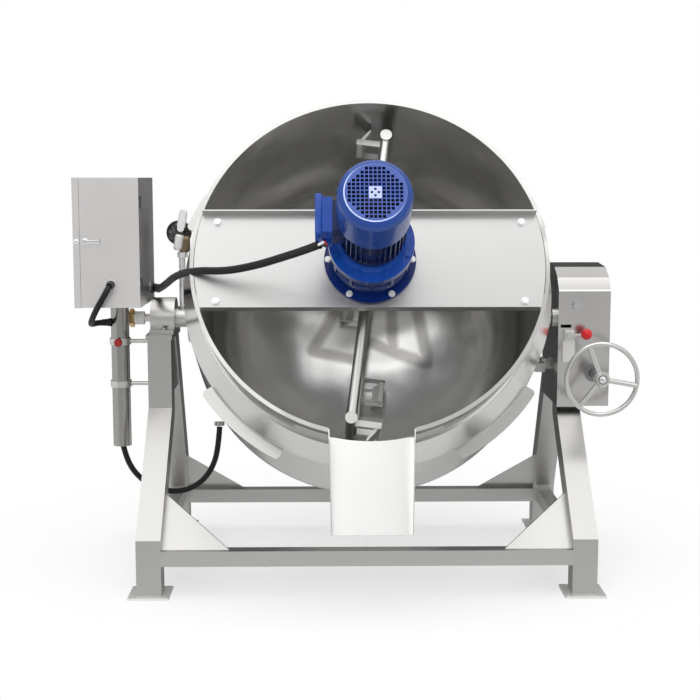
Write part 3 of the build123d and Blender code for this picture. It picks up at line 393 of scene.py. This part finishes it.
# Weld beads run round the ends of the beams where they meet the legs.
weld = Finish("weld_bead", (0.50, 0.49, 0.47), 0.38, 1.0)
weld.worn(0.3, 0.2, 300, 2)
weld.relief((weld.axis("Z") * 1500).wave() + (weld.axis("Y") * 1500).wave(), 0.4, 0.0008)
weld_x, weld_z, weld_half, bead_radius = 0.6605, 0.128, 0.0255, 0.0022
corners = ((-1, -1), (1, -1), (1, 1), (-1, 1), (-1, -1))
for side_name, sign in (("left", -1), ("right", 1)):
    for place, y in (("front", -0.440), ("rear", 0.410)):
        ring = [(sign * weld_x, y + a * weld_half, weld_z + b * weld_half) for a, b in corners]
        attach(drawn_tube(f"weld_{place}_{side_name}", ring, bead_radius, weld, 1, 2)[0], "frame")

# ---------------------------------------------------------------- bolts
# Zinc-plated hexagon bolts with washers hold the bearings and the gear cover. Those of the
# bridge and the drive have a finish of their own below.
zinc = Finish("zinc", (0.58, 0.58, 0.59), 0.30, 1.0)
zinc.worn(0.24, 0.2, 140, 3)
dress(zinc, "frame_bolts")

# ---------------------------------------------------------------- vessel
# The bowl, its jacket and the outer casing are spun and welded stainless steel. The bowl is
# polished and slightly wavy inside; the shoulder ring and the casing are polished brighter.
lean = radians(65)
vessel_centre = (0.007, 0.036, 0.851)


def in_vessel(finish):
    """Points in the vessel's own frame, and their distance from its axis."""
    local = finish.stretch((1, 1, 1), (-lean, 0, 0), finish.moved(vessel_centre))
    return local, finish.length(finish.stretch((1, 1, 0), points=local))


def polished_round(finish, local, out, roughness, grain, ripple):
    """Gives steel fine rings about the vessel's axis and soft ripples. Returns its lines and smudges."""
    rings = finish.node("ShaderNodeCombineXYZ", {}, [out * 240, finish.axis("Z", local) * 240, 0.0])
    lines = finish.cloud(1, 3, rings)
    smudge = finish.cloud(3.2, 3)
    finish.feed("Roughness", roughness - grain / 2 + lines * grain + smudge * 0.08 - 0.04)
    finish.relief(lines * 0.02 + finish.cloud(ripple, 1, local), 0.5, 0.02)
    return lines, smudge


def turned_steel(name, colour, roughness):
    """Stainless steel of an even colour, polished round the vessel's own axis."""
    finish = Finish(name, colour, roughness, 1.0)
    lines, smudge = polished_round(finish, *in_vessel(finish), roughness, 0.06, 1.5)
    finish.coloured(finish.blend(smudge * 0.5 + lines * 0.5, toned(colour, 0.92), colour))
    return finish


# Tones laid in the bowl's colour stand for what polished steel mirrors: a wall that is darker
# than the bottom, five soft dark streaks across the bottom, and a rim face of its own tone.
bowl = Finish("bowl_steel", steel(0.60), 0.22, 1.0)
local, out = in_vessel(bowl)
polished_round(bowl, local, out, 0.22, 0.08, 5.0)
height = bowl.axis("Z", local)
level = bowl.stretch((1, 1, 0), points=local)


def streak(start, end):
    """Mask of a soft streak between two points of the bowl's plan."""
    start, end = Vector((*start, 0)), Vector((*end, 0))
    run = end - start
    offset = bowl.moved(start, level)
    along = bowl.vector("DOT_PRODUCT", [offset, run.normalized()], "Value")
    nearest = bowl.vector("SCALE", {0: run.normalized(), "Scale": along.most(0.0).least(run.length)})
    gap = bowl.length(bowl.moved(nearest, offset))
    return bowl.ramp(gap + bowl.cloud(9, 2) * 0.012, 0.016, 0.040, 1, 0)


streaks = streak((-0.190, 0.012), (-0.026, -0.017))
for start, end in (((0.038, 0.049), (0.240, -0.043)), ((-0.109, 0.160), (-0.187, 0.022)),
                   ((0.112, 0.160), (0.115, 0.031)), ((0.213, 0.152), (0.243, -0.020))):
    streaks = streaks.most(streak(start, end))
bottom = bowl.ramp(height, -0.40, -0.10, 1, 0)
rim_height = 0.5305
bowl.coloured(bowl.blend(bowl.ramp(out, 0.40, 0.535), steel(0.78), steel(0.54)))
bowl.tinted(bottom, steel(0.78))
bowl.tinted(streaks * bottom * 0.72, (0.28, 0.265, 0.245))
bowl.tinted(height.over(rim_height), steel(0.56))
bowl.feed("Metallic", 1.0 - bottom * 0.15)
dress(bowl, "inner_pot")
dress(turned_steel("casing_steel", steel(0.72), 0.18), "outer_cladding", "steam_jacket")
dress(turned_steel("guard_steel", steel(0.50), 0.18), "arc_guards", "casing_fittings")
dress(turned_steel("shoulder_steel", steel(0.74), 0.16), "shoulder_ring")
dress(brushed("spout_steel", "Z", steel(0.92), 0.30), "pouring_spout")
dress(brushed("trunnion_steel", "X", steel(0.66), 0.22), "left_trunnion", "right_trunnion")
wool = Finish("mineral_wool", (0.62, 0.55, 0.34), 0.95)
wool.relief(wool.cloud(160, 4), 0.8, 0.003)
dress(wool, "insulation")

# ---------------------------------------------------------------- bridge
# A folded plate across the mouth carries the drive; its long edges are turned up and its
# ends are bolted to brackets inside the bowl.
dress(brushed("bridge_steel", "X", (0.60, 0.597, 0.59), 0.36, 0.10), "bridge_plate", "bridge_supports")

# ---------------------------------------------------------------- geared motor
# Cast iron and aluminium housings bolted together and sprayed in gloss blue enamel, with a
# pressed fan cover on the upper end and a terminal box on the left.
BLUE, NAVY = (0.006, 0.052, 0.29), (0.001, 0.009, 0.07)


def sprayed(name, colour):
    """Gloss enamel of a slightly uneven colour."""
    finish = Finish(name, colour, 0.24, Specular_IOR_Level=0.25, Coat_Weight=0.35, Coat_Roughness=0.06)
    finish.coloured(finish.blend(finish.cloud(26, 3), toned(colour, 0.80), toned(colour, 1.15)))
    finish.worn(0.22, 0.14, 70, 2)
    finish.relief(finish.cloud(420, 3), 0.12, 0.0006)
    return finish


# The terminal box is closed by a deep lid that stands proud of it all round.
box_enamel = sprayed("box_enamel", BLUE)
dress(box_enamel, "terminal_box")
lid_size, lid_place = (0.021, 0.126, 0.122), (-0.1575, 0.002, 0.849)
lid = bmesh.new()
bmesh.ops.create_cube(lid, size=1)
lid.transform(Matrix.Diagonal((*lid_size, 1)))
bmesh.ops.bevel(lid, geom=lid.edges[:], offset=0.005, segments=4, affect="EDGES", profile=0.5, material=-1)
lid.transform(Matrix.Translation(lid_place))
lid.transform(Matrix.Translation(vessel_centre) @ Matrix.Rotation(lean, 4, "X"))
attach(settle("terminal_box_lid", lid, box_enamel), "kettle")

# A darker blue on the body's finned middle stands for the shade between its fins.
body_enamel = sprayed("body_enamel", BLUE)
fins_from, fins_to = 0.734, 0.917
height = body_enamel.axis("Z", in_vessel(body_enamel)[0])
body_enamel.tinted(height.over(fins_from) * height.under(fins_to), NAVY)
dress(body_enamel, "motor_body")

# Colours laid on the fan cover's end stand for the light that its edges catch: a paler grille,
# a bright ring that fades to one side, and a pale plate in the middle. The plate's four dark
# holes are painted: dark spots that stand for the shade inside the holes.
cover_enamel = sprayed("cover_enamel", (0.006, 0.044, 0.235))
end_height, ring_from, ring_to, plate_half = 1.0545, 0.0850, 0.0885, 0.0178
hole_out, hole_radius = 0.0095, 0.003873
local, out = in_vessel(cover_enamel)
x, y = cover_enamel.axis("X", local), cover_enamel.axis("Y", local)
across, along = x.size(), y.size()
on_end = cover_enamel.axis("Z", local).over(end_height)
shine = cover_enamel.ramp(x + y, -0.09, 0.07, 1, 0.15)
plate = on_end * across.under(plate_half) * along.under(plate_half)
beside = (across - hole_out) ** 2 + along ** 2
above = across ** 2 + (along - hole_out) ** 2
cover_enamel.tinted(on_end * out.under(ring_from), (0.055, 0.095, 0.33))
cover_enamel.tinted(on_end * out.over(ring_from) * out.under(ring_to) * shine, (0.50, 0.58, 0.88))
cover_enamel.tinted(plate, (0.42, 0.47, 0.80))
cover_enamel.tinted(plate * beside.least(above).under(hole_radius ** 2), (0.004, 0.008, 0.03))
dress(cover_enamel, "fan_cover")
# The reducer's base and case take a darker copy of the blue enamel: painted shade for the shadow they sit in
# under the motor.
dress(sprayed("shaded_base_enamel", (0.002, 0.015, 0.11)), "reducer_base", "reducer_case")

# The bolts of the upper flange are painted over, and those that hold the drive down are bright.
bolt_finish = Finish("bridge_bolt_finish", (0.82, 0.82, 0.83), 0.28)
painted_from = 0.69
painted = bolt_finish.axis("Z", in_vessel(bolt_finish)[0]).over(painted_from)
bolt_finish.tinted(painted, BLUE)
bolt_finish.feed("Metallic", 0.5 - painted * 0.5)
bolt_finish.worn(0.22, 0.16, 140, 3)
dress(bolt_finish, "bridge_bolts")
cast_steel = Finish("cast_steel", (0.30, 0.30, 0.31), 0.45, 0.9)
cast_steel.worn(0.36, 0.2, 120, 3)
dress(cast_steel, "worm_shaft", "worm_bearings")

# The rotor's steel shaft and its fan share one near-black finish: painted shade for the dark inside the fan
# cover.
rotor_painted_shade = Finish("rotor_painted_shade", (0.012, 0.012, 0.014), 0.5)
rotor_painted_shade.worn(0.44, 0.14, 90, 2)
dress(rotor_painted_shade, "motor_rotor")

# Three insulated conductors show between the sheath's end and the terminal box's gland.
conductors = [("white", (0.80, 0.80, 0.78), 0.0048, [(-0.152, -0.7570, 1.1450), (-0.144, -0.7600, 1.1490),
                                                     (-0.136, -0.7590, 1.1545)]),
              ("red", (0.50, 0.03, 0.02), 0.0032, [(-0.138, -0.7588, 1.1530), (-0.133, -0.7570, 1.1570),
                                                   (-0.1285, -0.7545, 1.1440), (-0.1250, -0.7475, 1.1470)]),
              ("dark", (0.03, 0.03, 0.03), 0.0026, [(-0.150, -0.7590, 1.1455), (-0.137, -0.7600, 1.1420),
                                                    (-0.1270, -0.7540, 1.1380), (-0.1265, -0.7475, 1.1480)])]
for name, colour, radius, route in conductors:
    insulation = Finish(f"{name}_wire", colour, 0.4)
    insulation.worn(0.34, 0.14, 200, 2)
    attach(drawn_tube(f"{name}_conductor", route, radius, insulation, 8)[0], "kettle")

# ---------------------------------------------------------------- agitator
# A bent stainless tube loop on a shaft, with six hinged plastic blades that wipe the bowl.
# The tube is polished, and the blades are moulded in a pale grey.
dress(brushed("agitator_steel", "Z", steel(0.64), 0.30), "agitator_frame", "agitator_shaft")
blade_plastic = Finish("blade_plastic", (0.60, 0.60, 0.58), 0.5)
blade_plastic.worn(0.44, 0.14, 90, 2)
dress(blade_plastic, *[f"scraper_{number}" for number in range(1, 7)])

# ---------------------------------------------------------------- tilting gear
# A folded and polished sheet cover on the right leg hides the worm pair. The handwheel that
# turns the worm is polished steel with a chromed nut.
cover_steel = brushed("cover_steel", "Z", (0.62, 0.61, 0.595), 0.20, 0.06, patch=0.03)
fold_from, fold_to = 0.9612, 1.020
rise = cover_steel.axis("Z")
# A darker tone that fades upwards over the sloping fold stands for what it mirrors.
cover_steel.tinted(rise.over(fold_from) * cover_steel.ramp(rise, fold_from, fold_to, 1, 0.25),
                   (0.40, 0.395, 0.385))
dress(cover_steel, "gear_cover")
dress(brushed("block_steel", "X", steel(0.86), 0.34, metallic=0.75), "lock_block")
chrome = Finish("chrome", (0.78, 0.78, 0.78), 0.12, 1.0)
bright_chrome = Finish("bright_chrome", (0.95, 0.95, 0.95), 0.12, 1.0)
for plating in (chrome, bright_chrome):
    plating.worn(0.08, 0.10, 30, 3)
dress(brushed("wheel_steel", "Z", steel(0.66), 0.20), "handwheel")
nut = [(0, -0.004), (0.0135, -0.004), (0.0135, 0.002), (0.011, 0.0065), (0.006, 0.009), (0, 0.0095)]
lathe("wheel_nut", nut, (0.778, -0.2872, 0.677), (0, -1, 0), chrome, "handwheel")

# Locking lever: chromed hub and rod with a red ball on its end.
lever_finish = Finish("lever_red_ball", (0.70, 0.70, 0.70), 0.2, 1.0)
ball_centre, ball_reach = (0.741, -0.189, 0.817), 0.0195
on_ball = lever_finish.length(lever_finish.moved(ball_centre)).under(ball_reach)
lever_finish.tinted(on_ball, (0.58, 0.008, 0.012))
lever_finish.feed("Metallic", 1.0 - on_ball)
lever_finish.worn(0.16, 0.12, 60, 3)
dress(lever_finish, "lock_lever")

# ---------------------------------------------------------------- steam fittings
# A brass rotary joint whose union nut is wrapped in white thread tape, and a plated riser
# with a dull brass tee below the plated safety valve, which leans and has a dark ring.
valve_finish = Finish("plated_valve", (0.92, 0.92, 0.92), 0.16, 0.5)
valve_place, valve_lean = (-0.645, 0.010, 1.088), radians(10)
ring_height, ring_half = 0.0605, 0.0042
stem = valve_finish.moved(valve_place)
height = valve_finish.axis("X", stem) * sin(valve_lean) + valve_finish.axis("Z", stem) * cos(valve_lean)
valve_finish.tinted((height - ring_height).size().under(ring_half), (0.05, 0.05, 0.05))
valve_finish.worn(0.12, 0.10, 30, 3)
dress(valve_finish, "safety_valve")
lever_plate = Finish("plated_lever", (0.92, 0.92, 0.92), 0.2, 0.4)
lever_plate.worn(0.16, 0.10, 40, 3)
dress(lever_plate, "valve_lever")
joint_finish = Finish("taped_brass", (0.62, 0.45, 0.20), 0.26, 1.0)
tape_from = -0.7995
taped = joint_finish.axis("X").over(tape_from)
wraps = (joint_finish.axis("X") * 1600 + joint_finish.cloud(60, 2) * 5).wave()
joint_finish.tinted(taped, (0.96, 0.96, 0.95))
joint_finish.feed("Metallic", 1.0 - taped)
joint_finish.feed("Roughness", 0.24 + taped * 0.3 + joint_finish.cloud(80, 3) * 0.14)
joint_finish.relief(wraps * taped, 0.5, 0.001)
dress(joint_finish, "rotary_joint")
riser_finish = Finish("riser_metal", (0.92, 0.92, 0.92), 0.14, 0.7)
tee_from = 1.0801
on_tee = riser_finish.axis("Z").over(tee_from)
riser_finish.tinted(on_tee, (0.24, 0.18, 0.11))
riser_finish.feed("Roughness", 0.10 + on_tee * 0.22 + riser_finish.cloud(70, 3) * 0.12)
dress(riser_finish, "steam_riser")

# Pressure gauge: black case, black dial with grey ticks behind a clear glass, and a grey needle.
gauge_x, gauge_y, gauge_z = -0.646, 0.084, 1.146
case_finish = Finish("gauge_case", (0.02, 0.02, 0.02), 0.35)
case_finish.worn(0.28, 0.15, 120, 3)
case_profile = [(0, -0.014), (0.040, -0.014), (0.043, -0.010), (0.043, 0.014), (0.040, 0.016),
                (0.037, 0.014), (0.037, 0.0078), (0, 0.0078)]
case = lathe("gauge_case", case_profile, (gauge_x, gauge_y, gauge_z), (0, -1, 0), case_finish, "frame")
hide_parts("pressure_gauge")
dial_finish = Finish("gauge_dial", (0.012, 0.012, 0.012), 0.4)
flat = dial_finish.moved((gauge_x, gauge_y, gauge_z))
bearing = dial_finish.axis("X", flat).maths("ARCTAN2", dial_finish.axis("Z", flat))
reach = dial_finish.length(dial_finish.stretch((1, 0, 1), points=flat))
marks = (bearing * 20).maths("COSINE").over(0.86) * bearing.size().under(2.4)
dial_finish.tinted(marks * reach.over(0.026) * reach.under(0.033), (0.22, 0.22, 0.22))
dial_front, glass_front = gauge_y - 0.0081, gauge_y - 0.0119
lathe("gauge_dial", [(0, 0), (0.0365, 0), (0.0365, 0.0002), (0, 0.0002)], (gauge_x, dial_front, gauge_z),
      (0, -1, 0), dial_finish, "frame", 64)
glass = Finish("gauge_glass", (1, 1, 1), 0.04, Transmission_Weight=1.0, IOR=1.2)
lathe("gauge_glass", [(0, 0), (0.0368, 0), (0.0368, 0.0015), (0, 0.0015)], (gauge_x, glass_front, gauge_z),
      (0, -1, 0), glass, "frame", 64)
needle_finish = Finish("needle_grey", (0.4, 0.4, 0.4), 0.4)
needle_finish.worn(0.36, 0.1, 200, 2)
dress(needle_finish, "gauge_needle")

# ---------------------------------------------------------------- control box
# A folded stainless cabinet with a hinged door, its switchgear, and the tube that takes its
# cables down. The hinges and the gland on its right side are dark. One clamp has a red knob.
box_steel = brushed("box_steel", "Z", (0.88, 0.86, 0.85), 0.34, patch=0.03)
fitting_from = -0.7455
fitted = box_steel.axis("X").over(fitting_from)
box_steel.tinted(fitted, (0.07, 0.07, 0.07))
box_steel.feed("Metallic", 1.0 - fitted * 0.6)
dress(box_steel, "control_box", "box_door")

# The door's latch is a chromed lock barrel with a rounded handle and a cam behind the door. A
# screw head sits beside it on the fixed strip.
latch_x, grip_x, latch_z = -0.924, -0.883, 1.128
lock_barrel = [(0, -0.028), (0.005, -0.028), (0.005, 0), (0.0112, 0), (0.0112, 0.003), (0.0105, 0.0045),
               (0.0095, 0.0050), (0.0092, 0.0140), (0.0080, 0.0152), (0.0055, 0.0152), (0.0050, 0.0132),
               (0, 0.0132)]
barrel = lathe("latch_barrel", lock_barrel, (latch_x, -0.2004, latch_z), (0, -1, 0), bright_chrome,
               "door_latch", 40)
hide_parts("door_latch")
handle_back, handle_front = -0.2095, -0.2145
outline = []
for x, radius, first, step, count in ((latch_x, 0.0060, 90, 12, 16), (grip_x, 0.0075, -130, 16, 17)):
    angles = [radians(first + step * number) for number in range(count)]
    outline += [(x + radius * cos(angle), latch_z + radius * sin(angle)) for angle in angles]
handle = bmesh.new()
face = handle.faces.new([handle.verts.new((x, handle_back, z)) for x, z in outline])
grown = bmesh.ops.extrude_face_region(handle, geom=[face])
for corner in [item for item in grown["geom"] if isinstance(item, bmesh.types.BMVert)]:
    corner.co.y = handle_front
edges = [edge for edge in handle.edges
         if all(abs(corner.co.y - handle_front) < 1e-5 for corner in edge.verts)]
bmesh.ops.bevel(handle, geom=edges, offset=0.0014, segments=3, affect="EDGES", profile=0.5, material=-1)
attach(settle("latch_handle", handle, bright_chrome), "door_latch")
cam_size, cam_place = (0.014, 0.004, 0.028), (latch_x, -0.176, 1.114)
cam = bmesh.new()
bmesh.ops.create_cube(cam, size=1)
cam.transform(Matrix.Translation(cam_place) @ Matrix.Diagonal((*cam_size, 1)))
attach(settle("latch_cam", cam, zinc), "door_latch")
screw_head = [(0, 0), (0.0085, 0), (0.0085, 0.0022), (0.0060, 0.0038), (0, 0.0042)]
lathe("strip_screw", screw_head, (-0.953, -0.2, latch_z), (0, -1, 0), bright_chrome, "frame", 32)

# The switchgear is dark grey plastic, on a bare metal plate at the cabinet's back.
gear_finish = Finish("switchgear", (0.30, 0.31, 0.32), 0.45)
plate_from = 0.1515
on_plate = gear_finish.axis("Y").over(plate_from)
gear_finish.tinted(on_plate, (0.62, 0.61, 0.58))
gear_finish.feed("Metallic", on_plate * 0.9)
gear_finish.worn(0.40, 0.12, 60, 3)
dress(gear_finish, "control_gear")
dress(brushed("tube_steel", "Z", steel(0.36), 0.12, 0.05), "cable_tube")
clamp_finish = Finish("clamp_red_knob", (0.62, 0.62, 0.60), 0.26, 1.0)
knob_front, knob_height, knob_half = -0.0765, 0.779, 0.02
beside_knob = (clamp_finish.axis("Z") - knob_height).size().under(knob_half)
on_knob = clamp_finish.axis("Y").under(knob_front) * beside_knob
clamp_finish.tinted(on_knob, (0.30, 0.012, 0.014))
clamp_finish.feed("Metallic", 1.0 - on_knob)
clamp_finish.worn(0.22, 0.14, 60, 3)
dress(clamp_finish, "tube_clamps")
